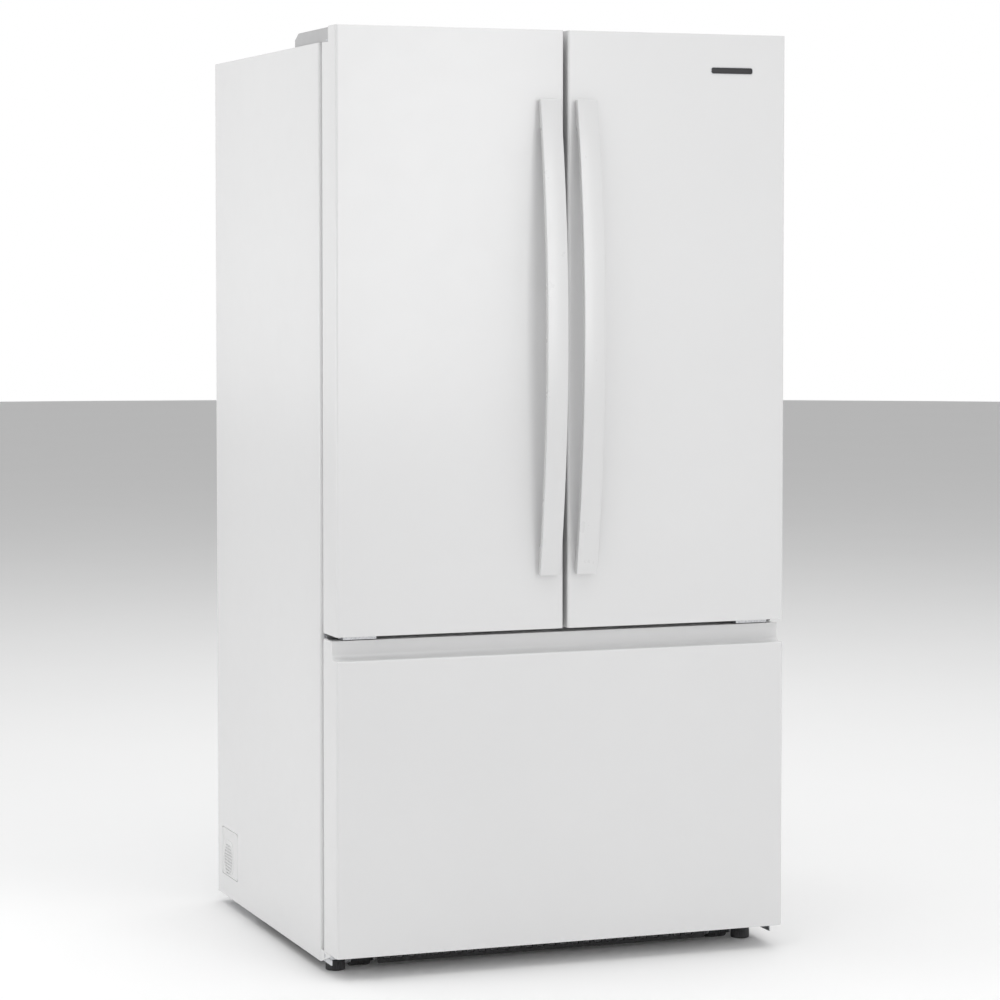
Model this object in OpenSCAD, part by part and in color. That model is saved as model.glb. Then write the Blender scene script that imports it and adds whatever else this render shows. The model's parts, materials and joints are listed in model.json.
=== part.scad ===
// French-door refrigerator with one bottom freezer drawer.
// Millimetres. +Z is up and the doors face -Y. The origin is on the floor, in the middle of the
// outer box, which runs from the front of the handles to the back of the case.

/* [Case] */
// Width over the case and over the two doors
overall_w = 908; // [890:1:915]
// Depth of the case, from its front edge to its back
case_d = 729; // [715:1:745]
// Height of the case top above the floor
case_top = 1746; // [1740:1:1752]
// Thickness of the insulated side walls
wall_t = 54; // [52:1:58]
// Thickness of the painted sheet
sheet_t = 1.2; // [0.8:0.1:1.4]

/* [Doors and drawer] */
// Distance from the front of the doors to the front of the case
door_t = 105; // [100:1:110]
// Depth of the folded door skin
skin_d = 82; // [78:1:86]
// Height of the door tops
door_top = 1773; // [1768:1:1776]
// Height of the door bottoms
door_bottom = 645; // [644:1:648]
// Gap between the two doors
door_gap = 9; // [6:0.5:12]
// Radius of the upright door edges
edge_r = 5; // [3:0.5:6]
// Height of the drawer's lower edge
drawer_bottom = 45; // [44:1:50]
// Height of the rounded lip in front of the finger recess
lip_top = 600; // [595:1:604]
// Depth of the finger recess from the drawer's face
recess_d = 29; // [26:1:32]

/* [Handles] */
// How far the middle of a handle stands off the door
handle_reach = 57; // [52:1:66]
// How far a handle's ends stand off the door
handle_end = 16; // [14:0.5:20]
// Width of a handle seen from the front
handle_w = 41; // [36:0.5:42]
// Thickness of the strap
handle_t = 10.5; // [9:0.5:12]
// Lower end of the handles
handle_low = 747.5; // [740:0.5:760]
// Upper end of the handles
handle_high = 1643; // [1630:1:1650]
// Distance from the centre line to a handle's near edge
handle_x = 16.5; // [15:0.5:20]

/* [Supports] */
// Radius of a levelling foot
foot_r = 18.5; // [16:0.5:20]
// Radius of a roller
roller_r = 16; // [15:0.5:16]

/* [Hidden] */
$fn = 48;

// Main planes, worked out from the driving dimensions
half_w = overall_w / 2;
y_back = (case_d + door_t + handle_reach) / 2;
y_case = y_back - case_d;
y_door = y_case - door_t;
y_skin = y_door + skin_d;
case_bottom = 21;

// Insulated compartments
liner_t = 2.5;
in_w = half_w - wall_t;
in_back = y_back - 64;
fridge_floor = 680;
fridge_ceiling = 1700;
freezer_floor = 95;
freezer_ceiling = 600;
step_y = 150;
step_z = 335;
machine_y = 205;
machine_top = 280;
grille_top = 42;
seam = 0.4;

// Door hinge axis: the left one, the right one is its mirror image
pivot_x = -(half_w - 12);
pivot_y = y_door + 60;
pin_r = 4;
pin_clear = 0.4;
notch_y = pivot_y - 15;
notch_x = -372;
notch_z = case_top - 1.5;
plate_t = 3;

// Door inner side: liner sheet, and how far the foam core stays inside the skin
panel_t = 2.5;
core = 1.6;
gasket_y0 = y_skin + panel_t;
gasket_y1 = y_case - 0.8;
gasket_w = 23;
gasket_in = 7;
dike_d = 60;
dike_w = 18;
dike_outer = half_w - 66;
dike_inner = 66;

// Folding bar between the doors, drawn folded back against the left door
bar_w = 74;
bar_t = 23.5;
bar_x = -40;
bar_y = y_case + 2;
bar_z0 = 688;
bar_z1 = 1692;
bar_knuckle_r = 5;
lug_h = 40;
lug_z = [740, 1170, 1600];

// Freezer drawer and its slides
drawer_top = 635;
lip_r = 4;
recess_r = 10;
slide_z0 = 380;
slide_z1 = 420;
slide_w = 11;

// Vent in the left side of the machine compartment
vent_y = [y_back - 147, y_back - 34];
vent_z = [65, 162];

// Fridge shelves: [left edge, right edge, height of the glass]
shelf_y0 = -150;
shelf_y1 = in_back - 13;
glass_t = 4;
shelves = [[-385, -6, 1440], [6, 385, 1375], [-385, -6, 1185], [6, 385, 1120]];
cover_z = 925;
crisper_floor = 752;
crisper_top = 915;
bin_front = -95;
post_w = 10;

// Handle arc: centre in y and outer radius, from the chord and the bow
handle_half = (handle_high - handle_low) / 2;
handle_mid = (handle_high + handle_low) / 2;
bow = handle_reach - handle_end;
handle_r = (handle_half * handle_half + bow * bow) / (2 * bow);
handle_cy = y_door - handle_reach + handle_r;

white = [0.93, 0.93, 0.92];
trim_grey = [0.74, 0.74, 0.75];
steel = [0.62, 0.63, 0.65];
black = [0.08, 0.08, 0.08];
clear = [0.80, 0.88, 0.90, 0.5];
foam = [0.93, 0.86, 0.62];
copper = [0.72, 0.45, 0.28];

// ---------- helpers ----------

// A box between two corners, given as ranges
module block(x, y, z) {
  translate([x[0], y[0], z[0]]) cube([x[1] - x[0], y[1] - y[0], z[1] - z[0]]);
}

module pair() {
  children();
  mirror([1, 0, 0]) children();
}

// Upright cylinder between two heights
module post(x, y, z, r) {
  translate([x, y, z[0]]) cylinder(r = r, h = z[1] - z[0]);
}

// Cylinder along X between two places
module rod_x(x, y, z, r) {
  translate([x[0], y, z]) rotate([0, 90, 0]) cylinder(r = r, h = x[1] - x[0]);
}

// Cylinder along Y between two places
module rod_y(x, y, z, r) {
  translate([x, y[0], z]) rotate([-90, 0, 0]) cylinder(r = r, h = y[1] - y[0]);
}

// Flat rectangle with true round corners
module rrect(x, y, r) {
  translate([x[0] + r, y[0]]) square([x[1] - x[0] - 2 * r, y[1] - y[0]]);
  translate([x[0], y[0] + r]) square([x[1] - x[0], y[1] - y[0] - 2 * r]);
  for (cx = [x[0] + r, x[1] - r], cy = [y[0] + r, y[1] - r]) translate([cx, cy]) circle(r);
}

// Flat rectangle whose two front corners are round
module front_round(x, y, r) {
  translate([x[0], y[0] + r]) square([x[1] - x[0], y[1] - y[0] - r]);
  translate([x[0] + r, y[0]]) square([x[1] - x[0] - 2 * r, 2 * r]);
  for (cx = [x[0] + r, x[1] - r]) translate([cx, y[0] + r]) circle(r);
}

// Extrudes an X-Z outline along Y
module along_y(y) {
  translate([0, y[1], 0]) rotate([90, 0, 0]) linear_extrude(y[1] - y[0]) children();
}

// Extrudes a Y-Z outline along X
module along_x(x) {
  translate([x[0], 0, 0]) rotate([90, 0, 90]) linear_extrude(x[1] - x[0]) children();
}

// Open-topped tray with round upright corners
module tray(x, y, z, wall, r) {
  difference() {
    translate([0, 0, z[0]]) linear_extrude(z[1] - z[0]) rrect(x, y, r);
    translate([0, 0, z[0] + wall]) linear_extrude(z[1] - z[0])
      rrect([x[0] + wall, x[1] - wall], [y[0] + wall, y[1] - wall], r - wall);
  }
}

// Four bars round an opening, kept a hair apart at their ends
module bar_frame(x, y, z, w) {
  for (z0 = [z[0], z[1] - w]) block(x, y, [z0, z0 + w]);
  for (x0 = [x[0], x[1] - w]) block([x0, x0 + w], y, [z[0] + w + seam, z[1] - w - seam]);
}

// ---------- case ----------

module case_plan(inset) {
  front_round([-half_w + inset, half_w - inset], [y_case + inset, y_back + 2 * inset], edge_r - inset);
}

module outer_case() {
  z_top = case_top - sheet_t;
  color(white) difference() {
    union() {
      difference() {
        translate([0, 0, case_bottom]) linear_extrude(case_top - case_bottom) case_plan(0);
        translate([0, 0, case_bottom - 1]) linear_extrude(z_top - case_bottom + 1) case_plan(sheet_t);
        // front, under the seal faces and over the foot brackets
        block([-in_w - 14, in_w + 14], [y_case - 1, y_case + sheet_t + 1], [case_bottom - 1, 62]);
        block([-half_w + 2.2, half_w - 2.2], [y_case - 1, y_case + sheet_t + 1], [case_bottom - 1, 36]);
      }
      // seal face between the two compartments
      block([-in_w - 14, in_w + 14], [y_case, y_case + sheet_t],
            [freezer_ceiling + liner_t, fridge_floor - liner_t]);
    }
    // the two compartment openings
    along_y([y_case - 1, y_case + sheet_t + 1])
      rrect([-in_w - 14, in_w + 14], [fridge_floor - liner_t, fridge_ceiling + 6], 30);
    along_y([y_case - 1, y_case + sheet_t + 1])
      rrect([-in_w - 14, in_w + 14], [62, freezer_ceiling + liner_t], 30);
    // window for the vent
    block([-half_w - 1, -half_w + sheet_t + 1], [vent_y[0] - 0.8, vent_y[1] + 0.8],
          [vent_z[0] - 0.8, vent_z[1] + 0.8]);
  }
}

module rear_panel() {
  color(trim_grey) difference() {
    block([-half_w + 1.6, half_w - 1.6], [y_back - sheet_t, y_back], [machine_top + 1, case_top - 1.6]);
    // pressed stiffening ribs
    for (x = [-300, -100, 100, 300])
      block([x - 12, x + 12], [y_back - 0.5, y_back + 1], [420, case_top - 140]);
  }
}

module cabinet_insulation() {
  x_out = half_w - sheet_t - 0.2;
  x_in = in_w + liner_t + 0.2;
  y0 = y_case + edge_r - 0.5;
  y1 = y_back - sheet_t - 0.2;
  z1 = case_top - sheet_t - 0.2;
  step_b = step_z - liner_t - 0.2;
  color(foam) {
    pair() {
      block([x_in, x_out], [y0, y1], [machine_top + seam, z1]);
      block([x_in, x_out], [y0, machine_y - seam], [36, machine_top]);
    }
    block([-x_in + seam, x_in - seam], [y0, y1], [fridge_ceiling + liner_t + 0.2, z1]);
    block([-x_in + seam, x_in - seam], [in_back + liner_t + 0.2, y1],
          [step_z, fridge_ceiling + liner_t - 0.2]);
    block([-x_in + seam, x_in - seam], [y0, in_back + liner_t - 0.2],
          [freezer_ceiling + liner_t + 0.2, fridge_floor - liner_t - 0.2]);
    block([-x_in + seam, x_in - seam], [y0, machine_y - seam],
          [grille_top + 2, freezer_floor - liner_t - 0.2]);
    block([-x_in + seam, x_in - seam], [step_y + liner_t + 0.2, machine_y - seam],
          [freezer_floor - liner_t + 0.2, machine_top]);
    block([-x_in + seam, x_in - seam], [step_y + liner_t + 0.2, y1], [machine_top + seam, step_b]);
  }
}

// Rounded box shell, open to the front, with a flange on the seal face
module fridge_liner() {
  color(white) {
    difference() {
      along_y([y_case + sheet_t, in_back + liner_t])
        rrect([-in_w - liner_t, in_w + liner_t], [fridge_floor - liner_t, fridge_ceiling + liner_t], 30);
      along_y([y_case - 1, in_back])
        rrect([-in_w, in_w], [fridge_floor, fridge_ceiling], 27.5);
    }
    difference() {
      along_y([y_case + sheet_t, y_case + sheet_t + 1.5])
        rrect([-in_w - 16, in_w + 16], [fridge_floor - liner_t, fridge_ceiling + 8], 32);
      along_y([y_case, y_case + 4]) rrect([-in_w, in_w], [fridge_floor, fridge_ceiling], 27.5);
    }
  }
}

module freezer_liner() {
  color(white) {
    difference() {
      union() {
        along_y([y_case + sheet_t, in_back + liner_t])
          rrect([-in_w - liner_t, in_w + liner_t],
                [step_z - liner_t, freezer_ceiling + liner_t], 30);
        along_y([y_case + sheet_t, step_y + liner_t])
          rrect([-in_w - liner_t, in_w + liner_t],
                [freezer_floor - liner_t, freezer_ceiling + liner_t], 30);
      }
      along_y([y_case - 1, in_back]) rrect([-in_w, in_w], [step_z, freezer_ceiling], 27.5);
      along_y([y_case - 1, step_y]) rrect([-in_w, in_w], [freezer_floor, freezer_ceiling], 27.5);
    }
    difference() {
      along_y([y_case + sheet_t, y_case + sheet_t + 1.5])
        rrect([-in_w - 16, in_w + 16], [60, freezer_ceiling + liner_t], 32);
      along_y([y_case, y_case + 4]) rrect([-in_w, in_w], [freezer_floor, freezer_ceiling], 27.5);
    }
  }
}

// ---------- base ----------

roller_x = [half_w - 104, half_w - 64];
foot_x = half_w - 34;
foot_y = y_case + 17;
foot_h = 21.5;
front_axle_y = y_case + 30;
rear_axle_y = y_back - 49;

module base_frame() {
  color(steel) {
    pair() {
      // side rail, with the arm that carries the leg cover
      block([half_w - 5, half_w - 2.6], [y_case - 58, machine_y - 1], [24, 34]);
      // corner plate with the threaded hole for a foot
      difference() {
        block([roller_x[1] + 8, half_w - 6], [y_case - 5, y_case + 60], [23, 34]);
        post(foot_x, foot_y, [20, 36], 5.4);
      }
      // cheeks of the front roller
      for (x = [roller_x[0] - 5, roller_x[1] + 2]) difference() {
        union() {
          block([x, x + 3], [front_axle_y - 12, front_axle_y + 30], [20, 35]);
          rod_x([x, x + 3], front_axle_y, 18, 11);
          // round tab in front of the roller
          rod_x([x, x + 3], front_axle_y - 13, 23, 12);
        }
        rod_x([x - 1, x + 4], front_axle_y, roller_r + 1.5, 4.3);
      }
      // machine compartment side plate, with the window for the vent
      difference() {
        block([half_w - 3.4, half_w - 1.6], [machine_y, y_back - 4.5], [24, machine_top]);
        block([half_w - 5, half_w], [vent_y[0] - 4, vent_y[1] + 4], [vent_z[0] - 4, vent_z[1] + 4]);
      }
      // cheeks of the rear roller
      for (x = [roller_x[0] - 5, roller_x[1] + 2]) difference() {
        block([x, x + 3], [rear_axle_y - 12, rear_axle_y + 12], [10, 24]);
        rod_x([x - 1, x + 4], rear_axle_y, roller_r, 4.3);
      }
    }
    block([-roller_x[0] + 8, roller_x[0] - 8], [y_case + 60, y_case + 108], [24, 34]);
    // floor of the machine compartment, open over the rear rollers
    difference() {
      block([-half_w + 4, half_w - 4], [machine_y, y_back - 4.5], [24, 26]);
      pair() block([roller_x[0] - 2, roller_x[1] + 2], [rear_axle_y - 19, rear_axle_y + 19], [20, 30]);
    }
  }
}

module machine_cover() {
  color(trim_grey) difference() {
    block([-half_w + 4, half_w - 4], [y_back - 4, y_back - 2.6], [26.5, machine_top]);
    for (x = [-400 : 32 : 144], z = [70 : 22 : 224])
      block([x, x + 22], [y_back - 5, y_back], [z, z + 6]);
    rod_y(380, [y_back - 5, y_back], 200, 9.4);
  }
}

module compressor() {
  cx = 270;
  cy = 322;
  r = 88;
  color(black) {
    // hermetic shell with a domed top
    difference() {
      union() {
        post(cx, cy, [52, 150], r);
        intersection() {
          translate([cx, cy, 150]) sphere(r = r);
          post(cx, cy, [149, 206], r + 1);
        }
        block([cx - 112, cx - 80], [cy - 30, cy + 30], [90, 140]);
      }
      post(cx, cy, [56, 195], r - 4);
    }
    // base plate and its rubber feet
    block([cx - 115, cx + 115], [cy - 70, cy + 70], [44, 52]);
    for (x = [cx - 60, cx + 60], y = [cy - 56, cy + 56]) post(x, y, [26, 44], 12);
  }
  // motor and pump inside
  color(copper) post(cx, cy, [60, 170], 55);
}

// A serpentine: straight tubes along Y joined by half turns
module serpentine(x, y, z0, pitch, rows, r) {
  for (i = [0 : rows - 1]) rod_y(x, y, z0 + i * pitch, r);
  for (i = [0 : rows - 2])
    translate([x, (i % 2 == 0) ? y[1] : y[0], z0 + (i + 0.5) * pitch])
      rotate([0, 90, 0]) rotate([0, 0, (i % 2 == 0) ? 0 : 180])
        rotate_extrude(angle = 180) translate([pitch / 2, 0]) circle(r);
}

module condenser_coil() {
  color(black) {
    for (i = [0 : 4]) serpentine(-320 + i * 30, [250, 410], 66, 24, 8, 3);
    for (y = [262, 330, 398]) difference() {
      block([-330, -190], [y - 0.8, y + 0.8], [58, 242]);
      for (i = [0 : 4], k = [0 : 7]) rod_y(-320 + i * 30, [y - 2, y + 2], 66 + k * 24, 2.9);
    }
  }
}

fan_c = [-60, 330, 140];
cold_fan_c = [0, 330, 520];

module fan_motors() {
  color(steel) {
    rod_x([fan_c[0] + 20, fan_c[0] + 55], fan_c[1], fan_c[2], 24);
    rod_x([fan_c[0] + 14, fan_c[0] + 20], fan_c[1], fan_c[2], 8);
    block([fan_c[0] + 55, fan_c[0] + 58], [fan_c[1] - 95, fan_c[1] + 95], [fan_c[2] - 5, fan_c[2] + 5]);
    for (y = [-95, 92])
      block([fan_c[0] + 55, fan_c[0] + 58], [fan_c[1] + y, fan_c[1] + y + 3], [26, fan_c[2] + 5]);
    rod_y(cold_fan_c[0], [cold_fan_c[1] + 16, cold_fan_c[1] + 50], cold_fan_c[2], 20);
    block([-60, 60], [cold_fan_c[1] + 50, in_back], [cold_fan_c[2] - 6, cold_fan_c[2] + 6]);
  }
}

// Hub with pitched blades, about the local Z axis
module propeller(r, hub_r, h, blades) {
  blade_w = r * 0.62;
  cylinder(r = hub_r, h = h);
  for (i = [0 : blades - 1]) rotate([0, 0, i * 360 / blades]) translate([0, 0, h / 2])
    rotate([22, 0, 0]) linear_extrude(2, center = true) {
      translate([hub_r - 4, -blade_w * 0.3]) square([r - blade_w / 2 - hub_r + 4, blade_w * 0.6]);
      translate([r - blade_w / 2, 0]) circle(blade_w / 2);
    }
}

module condenser_fan() {
  color(black) translate([fan_c[0] - 12, fan_c[1], fan_c[2]]) rotate([0, 90, 0]) propeller(78, 18, 24, 5);
}

module evaporator_fan() {
  color(black) translate([cold_fan_c[0], cold_fan_c[1] + 14, cold_fan_c[2]]) rotate([90, 0, 0])
    propeller(46, 14, 18, 5);
}

module drip_pan() {
  color(black) tray([-345, -110], [225, 432], [28, 56], 2.5, 12);
}

module side_vent() {
  y = vent_y;
  z = vent_z;
  cy = vent_y[1] - 43.5;
  cz = vent_z[0] + 34;
  color(white) difference() {
    along_x([-half_w, -half_w + 3.5]) rrect(y, z, 8);
    for (i = [0 : 9]) let (dz = (i - 4.5) * 6.4, half = 29.5 * sqrt(1 - pow(dz / 35, 2)))
      block([-half_w - 1, -half_w + 5], [cy - half, cy + half], [cz + dz - 1.6, cz + dz + 1.6]);
    // step that leaves a raised field round the louvres
    difference() {
      along_x([-half_w - 1, -half_w + 0.6]) rrect([y[0] + 4, y[1] - 4], [z[0] + 0.01, z[1] - 4], 6);
      along_x([-half_w - 2, -half_w + 1]) rrect([cy - 36, cy + 38], [cz - 30, cz + 40], 20);
    }
  }
}

module cord_gland() {
  color(black) difference() {
    union() {
      rod_y(380, [y_back - 8, y_back - 0.2], 200, 9.1);
      rod_y(380, [y_back - 8, y_back - 4.3], 200, 13);
    }
    rod_y(380, [y_back - 11, y_back + 1], 200, 4);
  }
}

// ---------- cold side ----------

module evaporator() {
  color(steel) {
    for (i = [0 : 23]) block([-300 + i * 26, -299.4 + i * 26], [in_back - 36, in_back - 4], [350, 462]);
    for (k = [0 : 3], y = [in_back - 28, in_back - 12]) rod_x([-310, 310], y, 364 + k * 28, 4);
  }
}

module evaporator_cover() {
  y = [320, 323];
  color(white) difference() {
    union() {
      along_y(y) rrect([-in_w + 1, in_w - 1], [step_z + 2, freezer_ceiling - 2], 26);
      difference() {
        rod_y(0, [y[0] - 8, y[1]], cold_fan_c[2], 62);
        rod_y(0, [y[0] - 9, y[1]], cold_fan_c[2], 56);
      }
    }
    for (k = [-4 : 4]) let (half = sqrt(50 * 50 - pow(k * 11, 2)))
      block([-half, half], [y[0] - 4, y[1] + 1], [cold_fan_c[2] + k * 11 - 3, cold_fan_c[2] + k * 11 + 3]);
    for (x = [-340 : 40 : 300]) block([x, x + 28], [y[0] - 1, y[1] + 1], [352, 358]);
  }
}

module air_duct() {
  color(white) difference() {
    along_y([in_back - 60, in_back - 0.2]) rrect([-150, 150], [1598, 1698], 14);
    block([-147, 147], [in_back - 57, in_back + 1], [1601, 1695]);
    for (x = [-130 : 26 : 104]) block([x, x + 18], [in_back - 62, in_back - 55], [1622, 1634]);
    for (x = [-130 : 26 : 104]) block([x, x + 18], [in_back - 62, in_back - 55], [1656, 1668]);
  }
}

module shelf_tracks() {
  color(white) for (x = [-372, -17, 17, 372]) difference() {
    block([x - 9, x + 9], [in_back - 5, in_back - 0.2], [1000, 1580]);
    for (z = [1012 : 24 : 1560]) block([x - 2.5, x + 2.5], [in_back - 6, in_back - 1], [z, z + 13]);
  }
}

// Trim bars and cantilever brackets of one glass shelf
module shelf_frame(x, z) {
  block(x, [shelf_y0, shelf_y0 + 12], [z - 8, z + 9]);
  block(x, [shelf_y1 - 10, shelf_y1], [z - 8, z + 12]);
  for (x0 = [x[0] + 8, x[1] - 11]) along_x([x0, x0 + 3])
    polygon([[shelf_y0 + 14, z - 0.3], [shelf_y0 + 14, z - 12], [shelf_y1 - 40, z - 40],
             [in_back - 5.4, z - 40], [in_back - 5.4, z - 8.4], [shelf_y1 - 10.5, z - 8.4],
             [shelf_y1 - 10.5, z - 0.3]]);
}

module shelf_frames() {
  color(white) {
    for (s = shelves) shelf_frame([s[0], s[1]], s[2]);
    // cover over the crispers and the floor under them
    block([-in_w + 3, in_w - 3], [bin_front - 13, bin_front - 1], [cover_z - 8, cover_z + 9]);
    block([-in_w + 3, in_w - 3], [shelf_y1 - 10, shelf_y1], [cover_z - 8, cover_z + 9]);
    block([-in_w + 3, in_w - 3], [bin_front + 4, shelf_y1], [crisper_floor, crisper_floor + 4]);
    // post between the crispers and their side runners
    block([-post_w / 2, post_w / 2], [bin_front + 2, shelf_y1 - 11], [crisper_floor + 4.3, cover_z - 1]);
    pair() block([in_w - 11, in_w - 1], [bin_front + 2, shelf_y1 - 11], [crisper_floor + 4.3, cover_z - 1]);
    pair() block([in_w - 11, in_w - 1], [bin_front + 2, shelf_y1 - 11],
                 [fridge_floor + 30, crisper_floor - 1]);
  }
}

module shelf_glass() {
  color(clear) {
    for (s = shelves)
      block([s[0] + 2, s[1] - 2], [shelf_y0 + 12.3, shelf_y1 - 10.3], [s[2], s[2] + glass_t]);
    block([-in_w + 6, in_w - 6], [bin_front - 0.7, shelf_y1 - 10.3], [cover_z, cover_z + glass_t]);
  }
}

module ceiling_console() {
  color(white) difference() {
    union() {
      translate([0, 0, fridge_ceiling - 18]) linear_extrude(17.8) rrect([-120, 120], [-80, 90], 20);
      for (x = [-60, 60]) post(x, -50, [fridge_ceiling - 24, fridge_ceiling - 17], 13);
    }
    block([-90, 90], [-15, 70], [fridge_ceiling - 19, fridge_ceiling - 12]);
  }
  color([1, 1, 0.95]) block([-89.7, 89.7], [-14.7, 69.7], [fridge_ceiling - 17, fridge_ceiling - 12]);
}

// ---------- hinges ----------

module top_hinges() {
  color(steel) pair() {
    difference() {
      union() {
        post(pivot_x, pivot_y, [case_top, case_top + plate_t], 11);
        block([pivot_x - 2, pivot_x + 26], [pivot_y, y_case + 2], [case_top, case_top + plate_t]);
        translate([0, 0, case_top]) linear_extrude(plate_t)
          rrect([pivot_x - 2, pivot_x + 58], [y_case - 10, y_case + 120], 6);
      }
      for (x = [14, 44], y = [26, 96])
        post(pivot_x + x, y_case + y, [case_top - 1, case_top + plate_t + 1], 3.4);
    }
    post(pivot_x, pivot_y, [case_top - 18, case_top + plate_t], pin_r);
  }
}

module hinge_covers() {
  z1 = door_top;
  y = [y_door + 70, y_door + 283];
  x = [-446, -378];
  color(trim_grey) pair() difference() {
    along_x(x) polygon([[y[0], case_top], [y[0], z1 - 1.5], [y[0] + 1.5, z1], [y[1] - 23, z1],
                        [y[1], z1 - 11], [y[1], case_top]]);
    block([x[0] + 2, x[1] - 2], [y[0] + 2, y[1] - 2], [case_top - 1, z1 - 13]);
    block([x[0] + 2, x[1] - 2], [y[0] + 2, y[1] - 26], [case_top - 1, z1 - 2]);
    // mouth for the hinge arm
    block([x[0] - 1, x[0] + 34], [y[0] - 1, y[0] + 3], [case_top - 1, case_top + plate_t + 1]);
    block([x[0] - 1, x[0] + 3], [y[0] - 1, y[0] + 8], [case_top - 1, case_top + plate_t + 1]);
  }
}

module center_hinges() {
  z = [636.6, 640];
  y_front = y_door + 30;
  color(steel) pair() {
    difference() {
      union() {
        translate([0, 0, z[0]]) linear_extrude(z[1] - z[0])
          rrect([pivot_x + 10, -367], [y_front, y_case - 0.4], 5);
        // arm out to the pin
        block([pivot_x, pivot_x + 14], [pivot_y - 9, pivot_y + 9], z);
        block([pivot_x + 10, -367], [y_front, y_front + 2.5], [z[0], 644]);
        block([pivot_x - 4, -367], [y_case - 3.4, y_case - 0.4], [629, 650]);
      }
      for (x = [16, 56]) rod_y(pivot_x + x, [y_case - 5, y_case + 1], 645, 2.6);
    }
    post(pivot_x, pivot_y, [z[0], 661], pin_r);
    post(pivot_x, pivot_y, [z[0], 644.4], 9);
  }
}

// ---------- doors, drawn on the left ----------

door_x = [-half_w, -door_gap / 2];

module door_plan(inset) {
  front_round([door_x[0] + inset, door_x[1] - inset], [y_door + inset, y_skin + inset], edge_r - inset);
}

// Corner of the door top that is cut away for the hinge
module hinge_notch() {
  block([door_x[0] - 1, notch_x], [notch_y, gasket_y1], [notch_z, door_top + 1]);
}

module door_skin() {
  color(white) difference() {
    translate([0, 0, door_bottom]) linear_extrude(door_top - door_bottom) intersection() {
      door_plan(0);
      translate([door_x[0], y_door]) square([half_w, skin_d]);
    }
    translate([0, 0, door_bottom - 1]) linear_extrude(door_top - door_bottom + 2) door_plan(sheet_t);
    hinge_notch();
  }
}

cap_low = [door_bottom + 0.8, door_bottom + 23];
cap_high = [case_top - 26, door_top - 0.8];

module door_caps() {
  bore = pin_r + pin_clear;
  color(white) for (z = [cap_low, cap_high]) difference() {
    translate([0, 0, z[0]]) linear_extrude(z[1] - z[0]) intersection() {
      door_plan(sheet_t + 0.2);
      translate([door_x[0], y_door]) square([half_w, skin_d - 0.2]);
    }
    hinge_notch();
    post(pivot_x, pivot_y, [door_bottom - 1, door_bottom + 19], bore);
    post(pivot_x, pivot_y, [case_top - 20, case_top + 1], bore);
  }
}

module door_foam() {
  color(foam) {
    translate([0, 0, cap_low[1] + 0.3]) linear_extrude(cap_high[0] - cap_low[1] - 0.6)
      front_round([door_x[0] + core, door_x[1] - core], [y_door + core, y_skin - 0.3], edge_r - core);
    for (x = [-dike_outer, -dike_inner - dike_w])
      block([x + panel_t + 0.2, x + dike_w - panel_t - 0.2],
            [gasket_y0 + 0.3, gasket_y0 + dike_d - panel_t - 0.3], [724, 1666]);
  }
}

module door_liner() {
  z = [door_bottom + 1, door_top - 1];
  color(white) difference() {
    union() {
      block([door_x[0] + 1, door_x[1] - 1], [y_skin, gasket_y0], z);
      for (x = [-dike_outer, -dike_inner - dike_w])
        translate([0, 0, 720]) linear_extrude(950)
          rrect([x, x + dike_w], [gasket_y0 - 2, gasket_y0 + dike_d], 4);
    }
    hinge_notch();
    for (x = [-dike_outer, -dike_inner - dike_w])
      block([x + panel_t, x + dike_w - panel_t], [y_skin - 1, gasket_y0 + dike_d - panel_t],
            [720 + panel_t, 1670 - panel_t]);
  }
}

module door_gasket() {
  color(trim_grey)
    bar_frame([door_x[0] + gasket_in, door_x[1] - gasket_in], [gasket_y0, gasket_y1], [652, 1740], gasket_w);
}

module door_bin(z, h) {
  x = [-dike_outer + dike_w + 0.6, -dike_inner - dike_w - 0.6];
  tray(x, [gasket_y0 + 0.4, gasket_y0 + 102], [z, z + h], 2.8, 8);
}

bin_heights = [[765, 105], [1075, 105], [1400, 90]];

module door_bins() {
  color(clear) for (b = bin_heights) door_bin(b[0], b[1]);
}

module handle() {
  x = [-handle_x - handle_w, -handle_x];
  sweep = 2 * asin(handle_half / handle_r);
  color(white) {
    translate([x[0], handle_cy, handle_mid]) rotate([90, 0, 90]) rotate([0, 0, 180 - sweep / 2])
      rotate_extrude(angle = sweep, $fn = 360) rrect([handle_r - handle_t, handle_r], [0, handle_w], 3);
    for (z = [handle_low + 0.5, handle_high - 53]) intersection() {
      block([x[0] + 3.5, x[1] - 3.5], [y_door - 30, y_door], [z, z + 52.5]);
      translate([x[0], handle_cy, handle_mid]) rotate([90, 0, 90])
        cylinder(r = handle_r - handle_t + 1, h = handle_w, $fn = 360);
    }
  }
}

module left_door_skin() { door_skin(); }
module left_door_foam() { door_foam(); }
module left_door_caps() { door_caps(); }
module left_door_gasket() { door_gasket(); }
module left_door_bins() { door_bins(); }
module left_handle() { handle(); }

module left_door_liner() {
  door_liner();
  // lugs that carry the folding bar
  color(white) for (z = lug_z) difference() {
    union() {
      block([bar_x - bar_knuckle_r, bar_x + bar_knuckle_r], [gasket_y0 - 0.5, bar_y], [z, z + lug_h]);
      post(bar_x, bar_y, [z, z + lug_h], bar_knuckle_r);
    }
    post(bar_x, bar_y, [z - 1, z + lug_h + 1], 2.8);
  }
}

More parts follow.
